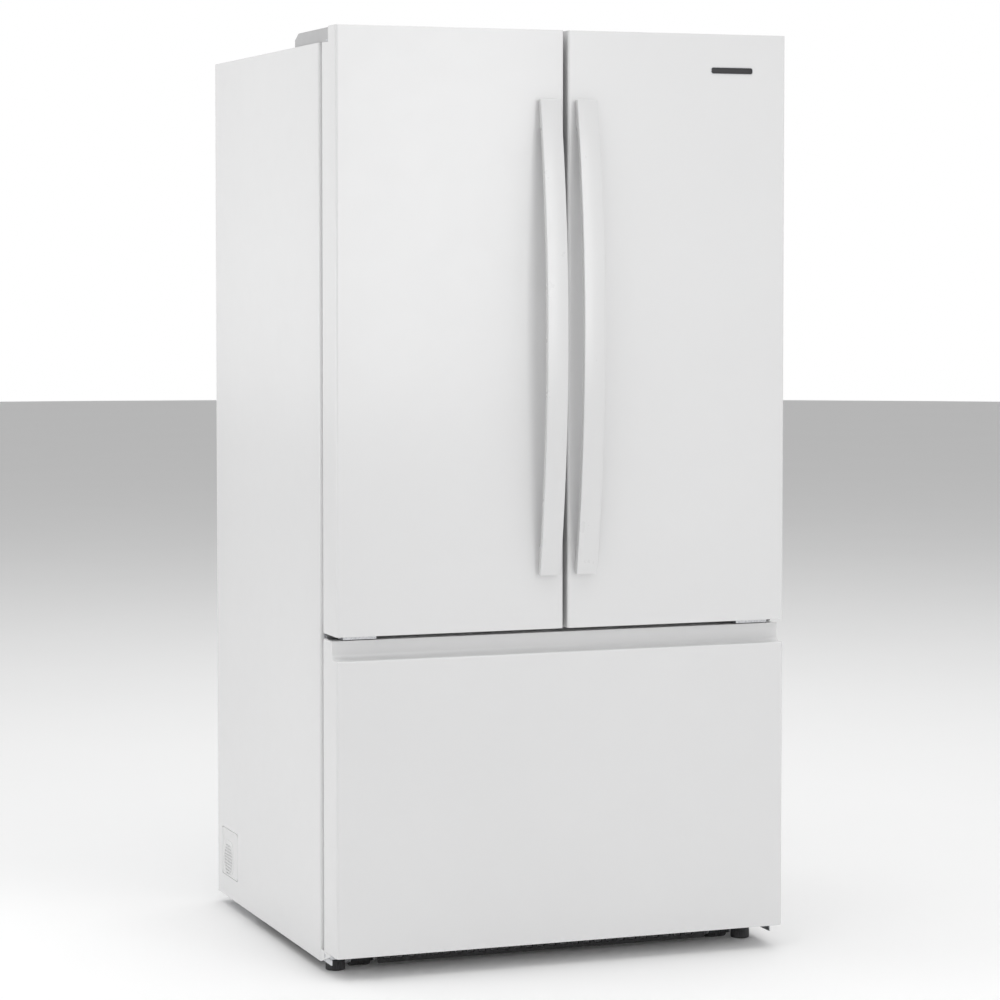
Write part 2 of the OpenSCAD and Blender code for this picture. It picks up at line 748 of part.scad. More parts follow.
module mullion() {
  color(trim_grey) difference() {
    union() {
      translate([0, 0, bar_z0]) linear_extrude(bar_z1 - bar_z0)
        rrect([bar_x - 22, bar_x - 22 + bar_t], [bar_y + 2, bar_y + 2 + bar_w], 3);
      post(bar_x, bar_y, [bar_z0, bar_z1], bar_knuckle_r);
      block([bar_x - 3, bar_x + 1.5], [bar_y, bar_y + 8], [bar_z0, bar_z1]);
    }
    for (z = lug_z) post(bar_x, bar_y, [z - 0.5, z + lug_h + 0.5], bar_knuckle_r + 1.4);
  }
  color(steel) post(bar_x, bar_y, [bar_z0 + 2, bar_z1 - 2], 2.4);
}

module right_door_skin() { mirror([1, 0, 0]) door_skin(); }
module right_door_foam() { mirror([1, 0, 0]) door_foam(); }
module right_door_liner() { mirror([1, 0, 0]) door_liner(); }
module right_door_caps() { mirror([1, 0, 0]) door_caps(); }
module right_door_gasket() { mirror([1, 0, 0]) door_gasket(); }
module right_door_bins() { mirror([1, 0, 0]) door_bins(); }
module right_handle() { mirror([1, 0, 0]) handle(); }

// ---------- freezer drawer ----------

// Y-Z outline of the drawer front, drawn smaller by an inset: a block with a round front edge, the
// wall behind the finger recess, and the hollow corner between them
module drawer_outline(i) {
  wall_y = y_door + recess_d;
  round_z = lip_top - lip_r;
  translate([y_door + i, drawer_bottom + i]) square([skin_d - i, round_z - drawer_bottom - i]);
  translate([y_door + lip_r, round_z - 1]) square([skin_d - lip_r, lip_r + 1 - i]);
  translate([y_door + lip_r, round_z]) circle(lip_r - i);
  translate([wall_y + i, drawer_bottom + i])
    square([skin_d - recess_d - i, drawer_top - drawer_bottom - 2 * i]);
  difference() {
    translate([wall_y - recess_r, round_z]) square([recess_r + i + 1, lip_r + recess_r]);
    translate([wall_y - recess_r, lip_top + recess_r]) circle(recess_r + i);
  }
}

module drawer_skin() {
  color(white) difference() {
    intersection() {
      along_x([-half_w, half_w]) drawer_outline(0);
      translate([0, 0, drawer_bottom]) linear_extrude(drawer_top - drawer_bottom)
        front_round([-half_w, half_w], [y_door, y_skin], edge_r);
      // round ends of the recess wall
      union() {
        along_y([y_door + recess_d, y_skin]) rrect([-half_w, half_w], [drawer_bottom - 20, drawer_top], 4);
        block([-half_w, half_w], [y_door - 1, y_door + recess_d + 1], [drawer_bottom, drawer_top]);
      }
    }
    intersection() {
      along_x([-half_w + sheet_t, half_w - sheet_t]) union() {
        drawer_outline(sheet_t);
        translate([y_skin - 5, drawer_bottom + sheet_t])
          square([10, drawer_top - drawer_bottom - 2 * sheet_t]);
      }
      translate([0, 0, drawer_bottom]) linear_extrude(drawer_top - drawer_bottom)
        front_round([-half_w + sheet_t, half_w - sheet_t], [y_door + sheet_t, y_skin + 9], edge_r - sheet_t);
    }
  }
}

module drawer_foam() {
  x = [-half_w + core, half_w - core];
  z = lip_top - lip_r;
  color(foam) intersection() {
    union() {
      block(x, [y_door + core, y_skin - 0.3], [drawer_bottom + core, z]);
      block(x, [y_door + recess_d + core, y_skin - 0.3], [z + seam, drawer_top - 5]);
    }
    translate([0, 0, drawer_bottom]) linear_extrude(drawer_top - drawer_bottom)
      front_round(x, [y_door + core, y_skin], edge_r - core);
  }
}

module drawer_liner() {
  color(white) {
    along_y([y_skin, gasket_y0]) rrect([-half_w + 1, half_w - 1], [drawer_bottom + 1, drawer_top - 1], 4);
    along_y([gasket_y0 - 1, gasket_y0 + 4]) rrect([-300, 300], [140, 560], 30);
  }
}

module drawer_gasket() {
  color(trim_grey)
    bar_frame([-half_w + gasket_in, half_w - gasket_in], [gasket_y0, gasket_y1], [52, 628], gasket_w);
}

module slide_rails() {
  color(steel) pair() {
    // channel fixed to the liner wall
    difference() {
      block([in_w - slide_w, in_w - 0.2], [y_case + 10, 310], [slide_z0, slide_z1]);
      block([in_w - slide_w - 1, in_w - 3], [y_case + 9, 311], [slide_z0 + 3, slide_z1 - 3]);
    }
    // ledge for the upper bin
    block([in_w - 12, in_w - 0.2], [y_case + 30, 310], [458, 464]);
  }
}

module drawer_slides() {
  x1 = in_w - slide_w - 0.5;
  color(steel) pair() {
    block([x1 - 12, x1], [gasket_y0 + 3.4, 300], [slide_z0 + 6, slide_z1 - 6]);
    block([x1 - 60, x1], [gasket_y0 + 0.2, gasket_y0 + 3.2], [slide_z0 - 30, slide_z1 + 10]);
    // roller at the rear end, inside the fixed channel
    rod_x([x1 - 2, x1 + 6], 285, (slide_z0 + slide_z1) / 2, 12);
  }
}

basket_y = [gasket_y0 + 8, step_y - 18];

module freezer_basket() {
  x = in_w - 30;
  z = [112, slide_z1 - 2.6];
  color(clear) {
    tray([-x, x], basket_y, z, 3, 14);
    // rim that hangs on the slides
    difference() {
      translate([0, 0, z[1] - 3]) linear_extrude(3) rrect([-x - 14, x + 14], basket_y, 14);
      translate([0, 0, z[1] - 4]) linear_extrude(5)
        rrect([-x + 3, x - 3], [basket_y[0] + 3, basket_y[1] - 3], 11);
    }
  }
}

module upper_freezer_bin() {
  color(clear) tray([-in_w + 6, in_w - 6], [-190, 308], [464.5, 575], 3, 22);
}

// ---------- fridge drawers ----------

module crisper(x) {
  y = [bin_front, shelf_y1 - 14];
  tray(x, y, [crisper_floor + 5, crisper_top - 6], 2.6, 12);
  // front panel with its pull lip
  difference() {
    block(x, [y[0] - 8, y[0] + 4], [crisper_floor + 5, crisper_top]);
    block([x[0] + 20, x[1] - 20], [y[0] - 5, y[0] + 1.4], [crisper_top - 24, crisper_top - 6]);
    block([x[0] + 20, x[1] - 20], [y[0] - 9, y[0] + 1.4], [crisper_top - 24, crisper_top - 16]);
  }
}

module left_crisper() {
  color(clear) crisper([-in_w + 13, -post_w / 2 - 2]);
}

module right_crisper() {
  color(clear) crisper([post_w / 2 + 2, in_w - 13]);
}

module pantry_drawer() {
  x = [-in_w + 13, in_w - 13];
  z = [fridge_floor + 8, crisper_floor - 4];
  color(clear) {
    tray(x, [bin_front, shelf_y1 - 14], z, 2.6, 12);
    block(x, [bin_front - 8, bin_front + 3], z);
  }
}

// ---------- feet, rollers, trim ----------

module foot(x) {
  color(black) {
    post(x, foot_y, [0, foot_h - 3], foot_r);
    translate([x, foot_y, foot_h - 3]) rotate_extrude()
      polygon([[0, 0], [foot_r, 0], [foot_r - 3, 3], [0, 3]]);
  }
  color(steel) post(x, foot_y, [foot_h - 1, 35.4], 5);
}

module foot_left() { foot(-foot_x); }
module foot_right() { foot(foot_x); }

module roller(x, y, z) {
  difference() {
    rod_x(x, y, z, roller_r);
    for (side = [x[0] - 1, x[1] - 5]) difference() {
      rod_x([side, side + 6], y, z, roller_r - 4);
      rod_x([side - 1, side + 7], y, z, 8);
    }
  }
  rod_x([x[0] - 5, x[1] + 5], y, z, 4);
}

module front_roller_left() {
  color(black) roller([-roller_x[1], -roller_x[0]], front_axle_y, roller_r + 1.5);
}

module front_roller_right() {
  color(black) roller(roller_x, front_axle_y, roller_r + 1.5);
}

module rear_rollers() {
  color(black) {
    roller([-roller_x[1], -roller_x[0]], rear_axle_y, roller_r);
    roller(roller_x, rear_axle_y, roller_r);
    rod_x([-roller_x[0] + 5.3, roller_x[0] - 5.3], rear_axle_y, roller_r, 4);
  }
}

module toe_grille() {
  x1 = roller_x[0] - 12;
  color(black) difference() {
    block([-x1, x1], [y_case + 6, y_case + 11], [7, grille_top]);
    for (x = [-x1 + 12 : 24 : x1 - 24]) block([x, x + 14], [y_case + 5, y_case + 12], [14, 35]);
  }
}

// Cheek plates that close the gap below the drawer's sides, cut away towards the front
module leg_covers() {
  y = [y_door + 45, y_case - 0.4];
  z_top = drawer_bottom - 0.6;
  color(white) pair() difference() {
    along_x([-half_w, -half_w + 1.8])
      polygon([[y[0], z_top - 4], [y[1], case_bottom], [y[1], z_top], [y[0], z_top]]);
    rod_x([-half_w - 1, -half_w + 3], y_door + 79, 37, 4.6);
  }
}

// Pan-head screw along local Z, head upwards, with a hexagonal recess
module screw(r, length) {
  difference() {
    union() {
      cylinder(r = r * 1.9, h = r * 0.9);
      translate([0, 0, -length]) cylinder(r = r, h = length);
    }
    translate([0, 0, r * 0.35]) cylinder(r = r * 0.9, h = r, $fn = 6);
  }
}

module screws() {
  color(steel) pair() {
    for (x = [14, 44], y = [26, 96])
      translate([pivot_x + x, y_case + y, case_top + plate_t + 0.1]) screw(3, plate_t - 0.1);
    for (x = [16, 56])
      translate([pivot_x + x, y_case - 3.5, 645]) rotate([90, 0, 0]) screw(2.4, 3);
    translate([-half_w + 2.2, y_door + 79, 37]) rotate([0, -90, 0]) screw(2.2, 0.2);
  }
  color(steel) for (x = [-430, -215, 0, 215, 430])
    translate([x, y_back - 2.5, machine_top - 10]) rotate([-90, 0, 0]) screw(2, 0.05);
}

outer_case();
rear_panel();
cabinet_insulation();
fridge_liner();
freezer_liner();
base_frame();
machine_cover();
compressor();
condenser_coil();
fan_motors();
drip_pan();
side_vent();
cord_gland();
evaporator();
evaporator_cover();
air_duct();
shelf_tracks();
shelf_frames();
shelf_glass();
ceiling_console();
top_hinges();
hinge_covers();
center_hinges();
slide_rails();
toe_grille();
leg_covers();
screws();
left_door_skin();
left_door_foam();
left_door_liner();
left_door_gasket();
left_door_caps();
left_handle();
left_door_bins();
mullion();
right_door_skin();
right_door_foam();
right_door_liner();
right_door_gasket();
right_door_caps();
right_handle();
right_door_bins();
drawer_skin();
drawer_foam();
drawer_liner();
drawer_gasket();
drawer_slides();
freezer_basket();
upper_freezer_bin();
left_crisper();
right_crisper();
pantry_drawer();
condenser_fan();
evaporator_fan();
front_roller_left();
front_roller_right();
rear_rollers();
foot_left();
foot_right();
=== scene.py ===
"""French-door refrigerator with a bottom freezer drawer: looks, light and camera round the CAD frame.

Metres. The doors face -Y, +Z is up, and the origin is on the floor. Pieces take their places from
the boxes of the CAD nodes that they stand for or sit beside.
"""

import json
import math

import bmesh
import bpy
from mathutils import Matrix, Vector


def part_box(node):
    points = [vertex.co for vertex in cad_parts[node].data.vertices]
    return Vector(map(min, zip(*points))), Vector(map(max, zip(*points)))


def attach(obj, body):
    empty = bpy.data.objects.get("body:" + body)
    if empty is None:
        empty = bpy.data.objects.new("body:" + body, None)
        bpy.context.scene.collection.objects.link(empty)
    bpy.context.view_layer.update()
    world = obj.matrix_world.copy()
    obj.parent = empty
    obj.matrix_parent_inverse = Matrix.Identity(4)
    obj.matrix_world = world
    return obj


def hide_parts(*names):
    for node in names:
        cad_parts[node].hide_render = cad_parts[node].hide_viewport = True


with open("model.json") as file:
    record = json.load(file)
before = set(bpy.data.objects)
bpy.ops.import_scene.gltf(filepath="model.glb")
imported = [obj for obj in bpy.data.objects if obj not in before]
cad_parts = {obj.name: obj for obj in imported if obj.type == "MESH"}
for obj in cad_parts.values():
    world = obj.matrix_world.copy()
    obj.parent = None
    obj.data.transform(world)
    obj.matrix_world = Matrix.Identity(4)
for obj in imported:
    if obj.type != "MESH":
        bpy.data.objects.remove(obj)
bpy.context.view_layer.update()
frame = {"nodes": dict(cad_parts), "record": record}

MM = 0.001


# ---------- camera, light and floor ----------

CAMERA_PLACE = (-2.2201, -6.0455, 1.3477)
CAMERA_YAW = 0.35355
CAMERA_PITCH = -0.04752
CAMERA_LENS = 115.93
CAMERA_SENSOR = 36
CAMERA_SHIFT = -0.09
CAMERA_REACH = 60
FLOOR_RADIUS = 24.0
FLOOR_SIDES = 96
# Brightness of the room's upper part from its left (0) to its right (1)
ROOM_LEVELS = ((0.0, 0.32), (0.5, 0.50), (1.0, 0.32))
# Heights on a unit sphere: white up to the first, the room's upper part from the second
HORIZON_BAND = (0.16, 0.30)
# Name, place, target, width, height and watts of each soft light
SOFTBOXES = (
    ("key_box", (0.35, -2.4, 1.6), (0.05, -0.4, 1.1), 0.7, 1.3, 8.5),
    ("left_box", (-1.8, -0.05, 1.15), (-0.45, 0.1, 1.1), 0.5, 0.6, 4.5),
    ("top_box", (0, 0, 5.5), (0, 0, 0), 9, 9, 290),
)


def add_camera():
    data = bpy.data.cameras.new("camera")
    data.lens = CAMERA_LENS
    data.sensor_width = CAMERA_SENSOR
    data.shift_y = CAMERA_SHIFT
    data.clip_end = CAMERA_REACH
    camera = bpy.data.objects.new("camera", data)
    camera.location = CAMERA_PLACE
    camera.rotation_euler = (math.pi / 2 + CAMERA_PITCH, 0, -CAMERA_YAW)
    bpy.context.scene.collection.objects.link(camera)
    bpy.context.scene.camera = camera


def add_softbox(name, place, target, width, height, power):
    """Area light that faces its target and can't be seen by the camera."""
    data = bpy.data.lights.new(name, "AREA")
    data.shape = "RECTANGLE"
    data.size = width
    data.size_y = height
    data.energy = power
    data.spread = math.pi
    light = bpy.data.objects.new(name, data)
    light.location = place
    aim = Vector(target) - Vector(place)
    light.rotation_euler = aim.to_track_quat("-Z", "Y").to_euler()
    light.visible_camera = False
    bpy.context.scene.collection.objects.link(light)


def add_room():
    """Grey room, darker at both sides, above a white horizon."""
    world = bpy.data.worlds.new("studio")
    world.use_nodes = True
    bpy.context.scene.world = world
    tree = world.node_tree
    back = tree.nodes["Background"]
    back.inputs["Strength"].default_value = 1.0
    place = tree.nodes.new("ShaderNodeTexCoord")
    split = tree.nodes.new("ShaderNodeSeparateXYZ")
    tree.links.new(place.outputs["Generated"], split.inputs[0])

    # -1 to 1 across the room becomes 0 to 1 along the ramp
    across = tree.nodes.new("ShaderNodeMath")
    across.operation = "MULTIPLY_ADD"
    across.inputs[1].default_value = 0.5
    across.inputs[2].default_value = 0.5
    tree.links.new(split.outputs["X"], across.inputs[0])
    upper = tree.nodes.new("ShaderNodeValToRGB")
    tree.links.new(across.outputs[0], upper.inputs[0])
    elements = upper.color_ramp.elements
    while len(elements) < len(ROOM_LEVELS):
        elements.new(0.5)
    for element, (position, level) in zip(elements, ROOM_LEVELS):
        element.position = position
        element.color = (level, level, level, 1)

    horizon = tree.nodes.new("ShaderNodeMapRange")
    horizon.inputs["From Min"].default_value = HORIZON_BAND[0]
    horizon.inputs["From Max"].default_value = HORIZON_BAND[1]
    horizon.inputs["To Min"].default_value = 1
    horizon.inputs["To Max"].default_value = 0
    tree.links.new(split.outputs["Z"], horizon.inputs["Value"])
    mix = tree.nodes.new("ShaderNodeMix")
    mix.data_type = "RGBA"
    mix.inputs[7].default_value = (1, 1, 1, 1)
    tree.links.new(horizon.outputs[0], mix.inputs[0])
    tree.links.new(upper.outputs[0], mix.inputs[6])
    tree.links.new(mix.outputs[2], back.inputs["Color"])


def add_studio():
    """Room, pale floor and soft lights."""
    bpy.context.scene.view_settings.view_transform = "Standard"
    add_room()
    shape = Shape()
    shape.disc(FLOOR_RADIUS, FLOOR_SIDES)
    floor = shape.object("floor")
    floor.data.materials.append(LOOKS["studio_floor"])
    for softbox in SOFTBOXES:
        add_softbox(*softbox)


# ---------- mesh code ----------

# Least radius of a round corner, and least length of the side between two corners
HAIR = 1e-5


def rounded(x0, x1, y0, y1, radius, steps):
    """Rectangle with round corners, anticlockwise, as (x, y) points."""
    radius = max(min(radius, (x1 - x0) / 2 - HAIR, (y1 - y0) / 2 - HAIR), HAIR)
    corners = [(x1 - radius, y1 - radius, 0), (x0 + radius, y1 - radius, 90),
               (x0 + radius, y0 + radius, 180), (x1 - radius, y0 + radius, 270)]
    points = []
    for cx, cy, start in corners:
        for i in range(steps + 1):
            a = math.radians(start + 90 * i / steps)
            points.append((cx + radius * math.cos(a), cy + radius * math.sin(a)))
    return points


class Shape:
    """Collects closed surfaces and turns them into one mesh."""

    def __init__(self):
        self.points = []
        self.faces = []

    def loft(self, rings, loop=False, place=None):
        """Skins rings of equal length. loop joins the last ring to the first, else both ends are capped."""
        start = len(self.points)
        count = len(rings[0])
        for ring in rings:
            self.points += [tuple(place @ Vector(p)) if place else tuple(p) for p in ring]
        last = len(rings) if loop else len(rings) - 1
        for r in range(last):
            a = start + r * count
            b = start + ((r + 1) % len(rings)) * count
            for i in range(count):
                j = (i + 1) % count
                self.faces.append((a + i, a + j, b + j, b + i))
        if not loop:
            end = start + len(rings) * count
            self.faces.append(tuple(reversed(range(start, start + count))))
            self.faces.append(tuple(range(end - count, end)))

    def disc(self, radius, sides):
        """A flat disc at height 0."""
        turn = math.tau / sides
        start = len(self.points)
        self.points += [(radius * math.cos(i * turn), radius * math.sin(i * turn), 0) for i in range(sides)]
        self.faces.append(tuple(range(start, start + sides)))

    def stack(self, layers):
        """Rings given as (flat outline, height)."""
        self.loft([[(x, y, h) for x, y in outline] for outline, h in layers])

    def lathe(self, profile, sides, place=None, swell=None, loop=False):
        """Turns (radius, height) points about local Z. swell changes the radius with angle and height."""
        rings = []
        for radius, height in profile:
            ring = []
            for i in range(sides):
                a = math.tau * i / sides
                r = radius * (swell(a, height) if swell else 1)
                ring.append((r * math.cos(a), r * math.sin(a), height))
            rings.append(ring)
        self.loft(rings, place=place, loop=loop)

    def object(self, name, sharp=40):
        """One smooth-shaded mesh object, with edges over sharp degrees left crisp."""
        mesh = bpy.data.meshes.new(name)
        mesh.from_pydata(self.points, [], self.faces)
        work = bmesh.new()
        work.from_mesh(mesh)
        bmesh.ops.remove_doubles(work, verts=work.verts, dist=1e-6)
        bmesh.ops.recalc_face_normals(work, faces=work.faces)
        work.to_mesh(mesh)
        work.free()
        mesh.shade_smooth()
        mesh.set_sharp_from_angle(angle=math.radians(sharp))
        obj = bpy.data.objects.new(name, mesh)
        bpy.context.scene.collection.objects.link(obj)
        return obj

    def piece(self, name, body, slot, replaces=(), sharp=40):
        """An object that rides on a body, with a slot's look, in place of the CAD nodes that it replaces."""
        obj = self.object(name, sharp)
        obj.data.materials.append(LOOKS[slot])
        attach(obj, body)
        if replaces:
            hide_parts(*replaces)


BEVEL_SEGMENTS = 2
BEVEL_ANGLE = 35
WELD_DISTANCE = 1e-5


def soften(node, width):
    """Rounds the sharp edges of a CAD node by a small width."""
    obj = frame["nodes"][node]
    weld = obj.modifiers.new("weld", "WELD")
    weld.merge_threshold = WELD_DISTANCE
    bevel = obj.modifiers.new("bevel", "BEVEL")
    bevel.width = width
    bevel.segments = BEVEL_SEGMENTS
    bevel.limit_method = "ANGLE"
    bevel.angle_limit = math.radians(BEVEL_ANGLE)
    bevel.use_clamp_overlap = True
    bevel.harden_normals = False
    smooth = obj.modifiers.new("normals", "WEIGHTED_NORMAL")
    smooth.keep_sharp = True


# ---------- materials ----------

class Look:
    """A Principled material whose colour, roughness and bump vary over the surface."""

    def __init__(self, name, colour, roughness, **sockets):
        self.material = bpy.data.materials.new(name)
        self.material.use_nodes = True
        self.tree = self.material.node_tree
        self.shader = self.tree.nodes["Principled BSDF"]
        self.colour = colour
        self.roughness = roughness
        for key, value in sockets.items():
            self.shader.inputs[key.replace("_", " ")].default_value = value
        self.shader.inputs["Base Color"].default_value = (*colour, 1)
        self.shader.inputs["Roughness"].default_value = roughness
        self.height = None
        place = self.tree.nodes.new("ShaderNodeTexCoord")
        self.where = place.outputs["Object"]

    def noise(self, scale, detail=3, kind="ShaderNodeTexNoise", stretch=None):
        node = self.tree.nodes.new(kind)
        node.inputs["Scale"].default_value = scale
        if kind == "ShaderNodeTexNoise":
            node.inputs["Detail"].default_value = detail
        where = self.where
        if stretch:
            mapping = self.tree.nodes.new("ShaderNodeMapping")
            mapping.inputs["Scale"].default_value = stretch
            self.tree.links.new(where, mapping.inputs["Vector"])
            where = mapping.outputs["Vector"]
        self.tree.links.new(where, node.inputs["Vector"])
        return node.outputs["Distance" if kind == "ShaderNodeTexVoronoi" else "Fac"]

    def spread_colour(self, source, spread, tint=(1, 1, 1)):
        """Moves the base colour up and down by a share, towards a tint when it is dark."""
        ramp = self.tree.nodes.new("ShaderNodeValToRGB")
        low = [c * (1 - spread) * t for c, t in zip(self.colour, tint)]
        high = [min(c * (1 + spread * 0.6), 1) for c in self.colour]
        ramp.color_ramp.elements[0].position = 0.3
        ramp.color_ramp.elements[0].color = (*low, 1)
        ramp.color_ramp.elements[1].position = 0.7
        ramp.color_ramp.elements[1].color = (*high, 1)
        self.tree.links.new(source, ramp.inputs[0])
        self.tree.links.new(ramp.outputs[0], self.shader.inputs["Base Color"])
        return self

    def spread_roughness(self, source, spread):
        node = self.tree.nodes.new("ShaderNodeMapRange")
        node.inputs["From Min"].default_value = 0.3
        node.inputs["From Max"].default_value = 0.7
        node.inputs["To Min"].default_value = max(self.roughness - spread, 0.02)
        node.inputs["To Max"].default_value = min(self.roughness + spread, 1)
        self.tree.links.new(source, node.inputs["Value"])
        self.tree.links.new(node.outputs[0], self.shader.inputs["Roughness"])
        return self

    def bump(self, source, depth):
        node = self.tree.nodes.new("ShaderNodeBump")
        node.inputs["Strength"].default_value = 1.0
        node.inputs["Distance"].default_value = depth
        self.tree.links.new(source, node.inputs["Height"])
        if self.height:
            self.tree.links.new(self.height, node.inputs["Normal"])
        self.height = node.outputs["Normal"]
        self.tree.links.new(self.height, self.shader.inputs["Normal"])
        return self


def paint(name, colour, roughness, peel, coat):
    """Baked enamel: faint orange peel, even colour, a thin clear gloss."""
    look = Look(name, colour, roughness, Coat_Weight=coat, Coat_Roughness=0.18, Specular_IOR_Level=0.5)
    look.spread_colour(look.noise(2.5, 4), 0.012)
    look.spread_roughness(look.noise(30, 3), 0.03)
    look.bump(look.noise(420, 2), peel)
    return look.material


def moulded(name, colour, roughness, grain, depth, **sockets):
    """Moulded plastic: fine spark-eroded grain and slow flow marks."""
    look = Look(name, colour, roughness, **sockets)
    look.spread_colour(look.noise(6, 4), 0.03)
    look.spread_roughness(look.noise(45, 3), 0.05)
    look.bump(look.noise(grain, 2), depth)
    return look.material


def clear(name, colour, roughness, ior, depth):
    """See-through plastic or glass with a faint haze and ripple."""
    look = Look(name, colour, roughness, Transmission_Weight=1.0, IOR=ior)
    look.spread_colour(look.noise(4, 3), 0.02)
    look.spread_roughness(look.noise(60, 2), roughness * 0.4)
    look.bump(look.noise(18, 2), depth)
    return look.material


def metal(name, colour, roughness, spangle, depth, streak=None, metallic=1.0):
    """Plated or bare metal: crystal spangle or rolling streaks."""
    look = Look(name, colour, roughness, Metallic=metallic)
    if streak:
        source = look.noise(spangle, 4, stretch=streak)
    else:
        source = look.noise(spangle, kind="ShaderNodeTexVoronoi")
    look.spread_colour(source, 0.10)
    look.spread_roughness(look.noise(spangle * 0.7, 4), 0.10)
    look.bump(source, depth)
    return look.material


def foam_look(name):
    look = Look(name, (0.80, 0.70, 0.42), 0.9)
    cells = look.noise(320, kind="ShaderNodeTexVoronoi")
    look.spread_colour(look.noise(25, 5), 0.12, (1, 0.94, 0.85))
    look.bump(cells, 0.6 * MM)
    return look.material


def floor_look(name):
    look = Look(name, (0.95, 0.95, 0.95), 0.75, Specular_IOR_Level=0.2, Emission_Strength=0.02)
    look.shader.inputs["Emission Color"].default_value = (1, 1, 1, 1)
    look.spread_colour(look.noise(1.5, 3), 0.006)
    look.bump(look.noise(60, 3), 0.1 * MM)
    return look.material


LOOKS = {
    "white_paint": paint("white_paint", (0.735, 0.735, 0.737), 0.32, 0.012 * MM, 0.35),
    "handle_paint": paint("handle_paint", (0.70, 0.70, 0.702), 0.30, 0.010 * MM, 0.35),
    "cap_plastic": moulded("cap_plastic", (0.76, 0.76, 0.76), 0.42, 900, 0.02 * MM),
    "hinge_cover_plastic": moulded("hinge_cover_plastic", (0.50, 0.50, 0.505), 0.52, 1100, 0.03 * MM),
    "zinc_steel": metal("zinc_steel", (0.66, 0.67, 0.69), 0.34, 260, 0.01 * MM),
    "galvanised_sheet": metal("galvanised_sheet", (0.62, 0.635, 0.65), 0.42, 70, 0.01 * MM),
    "liner_plastic": moulded("liner_plastic", (0.84, 0.84, 0.835), 0.26, 30, 0.006 * MM, Coat_Weight=0.3),
    "white_plastic": moulded("white_plastic", (0.80, 0.80, 0.80), 0.36, 800, 0.015 * MM),
    "track_paint": paint("track_paint", (0.78, 0.78, 0.78), 0.5, 0.03 * MM, 0.0),
    "gasket_vinyl": moulded("gasket_vinyl", (0.74, 0.74, 0.745), 0.55, 500, 0.02 * MM,
                            Subsurface_Weight=0.05),
    "mullion_plastic": moulded("mullion_plastic", (0.62, 0.62, 0.625), 0.4, 900, 0.02 * MM),
    "foam": foam_look("foam"),
    "shelf_glass": clear("shelf_glass", (0.93, 0.985, 0.965), 0.02, 1.5, 0.01 * MM),
    "clear_plastic": clear("clear_plastic", (0.96, 0.98, 0.985), 0.07, 1.45, 0.03 * MM),
    "bin_plastic": moulded("bin_plastic", (0.86, 0.88, 0.90), 0.38, 700, 0.02 * MM,
                           Transmission_Weight=0.55, IOR=1.45),
    "black_enamel": paint("black_enamel", (0.022, 0.022, 0.023), 0.35, 0.02 * MM, 0.4),
    "black_plastic": moulded("black_plastic", (0.028, 0.028, 0.030), 0.46, 1000, 0.03 * MM),
    "motor_steel": metal("motor_steel", (0.40, 0.41, 0.43), 0.45, 200, 0.02 * MM, metallic=0.9),
    "fin_aluminium": metal("fin_aluminium", (0.80, 0.81, 0.82), 0.3, 60, 0.01 * MM, streak=(1, 12, 1)),
    "studio_floor": floor_look("studio_floor"),
}


def coat_nodes():
    """Gives every CAD node the look of its slot in the record."""
    for part in frame["record"]["subparts"]:
        mesh = frame["nodes"][part["node"]].data
        mesh.materials.clear()
        mesh.materials.append(LOOKS[part["material_slot"]])


# ---------- pieces ----------

SIDES = ("left", "right")


def solid_boxes(node):
    """Lowest and highest corners of each separate solid of a CAD node, from the lowest solid up."""
    mesh = frame["nodes"][node].data
    spot, owner = {}, []
    for v in mesh.vertices:
        key = tuple(round(c, 6) for c in v.co)
        owner.append(spot.setdefault(key, len(spot)))
    parent = list(range(len(spot)))

    def root(i):
        while parent[i] != i:
            parent[i] = parent[parent[i]]
            i = parent[i]
        return i

    for face in mesh.polygons:
        first = root(owner[face.vertices[0]])
        for v in face.vertices[1:]:
            parent[root(owner[v])] = first
    boxes = {}
    for key, i in spot.items():
        low, high = boxes.setdefault(root(i), ([9.0] * 3, [-9.0] * 3))
        for axis in range(3):
            low[axis] = min(low[axis], key[axis])
            high[axis] = max(high[axis], key[axis])
    return sorted(((Vector(a), Vector(b)) for a, b in boxes.values()), key=lambda box: box[0].z)


HANDLE_BOW = 41 * MM
HANDLE_THICK = 10.5 * MM
HANDLE_EDGE = 1.4 * MM
HANDLE_SPANS = 72
STANDOFF_HEIGHT = 54 * MM
STANDOFF_SPANS = 8
STANDOFF_EDGE = 2.2 * MM
STANDOFF_CORNER = 1.2 * MM
# How much narrower than the strap at each side, how far from its end, and how deep into its back
STANDOFF_INSET = 3.4 * MM
STANDOFF_END = 1.2 * MM
STANDOFF_SINK = 1.5 * MM


def round_ends(length, edge, inner):
    """Adds a quarter-round at both ends to a bar's inner stations, all as (distance along, inset)."""
    turns = [math.radians(90 * i / 5) for i in range(6)]
    start = [(edge * (1 - math.cos(a)), edge * (1 - math.sin(a))) for a in turns]
    end = [(length - along, inset) for along, inset in reversed(start)]
    return start + inner + end


